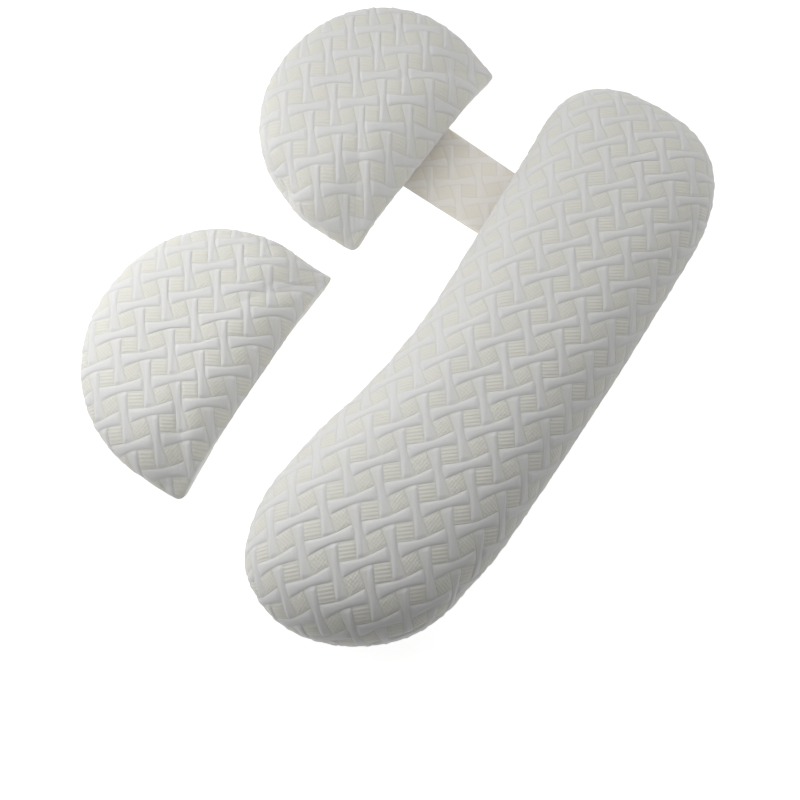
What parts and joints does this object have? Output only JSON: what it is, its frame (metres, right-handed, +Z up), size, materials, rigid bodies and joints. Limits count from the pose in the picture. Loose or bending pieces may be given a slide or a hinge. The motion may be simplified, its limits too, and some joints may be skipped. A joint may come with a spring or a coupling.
{
  "type": "pregnancy pillow",
  "caption": "Pregnancy pillow set in quilted jacquard knit: a long bean-shaped body pillow, a half-round back cushion joined to it by a flat strap, and a loose half-round cushion.",
  "frame": {"origin": "middle of the long body pillow's flat underside, on the surface that the set lies on", "axes": "+Z up, +Y along the long body pillow towards the end that the strap joins, half-round cushions on the -X side"},
  "size_m": [0.5439, 0.7228, 0.1288],
  "materials": {
    "long_pillow": "matte knitted cloth",
    "back_cushion": "matte knitted cloth",
    "loose_cushion": "matte knitted cloth",
    "strap": "matte knitted cloth"
  },
  "bodies": {
    "root": {"long_pillow": "long_pillow", "back_cushion": "back_cushion", "loose_cushion": "loose_cushion", "strap": "strap"}
  },
  "joints": []
}
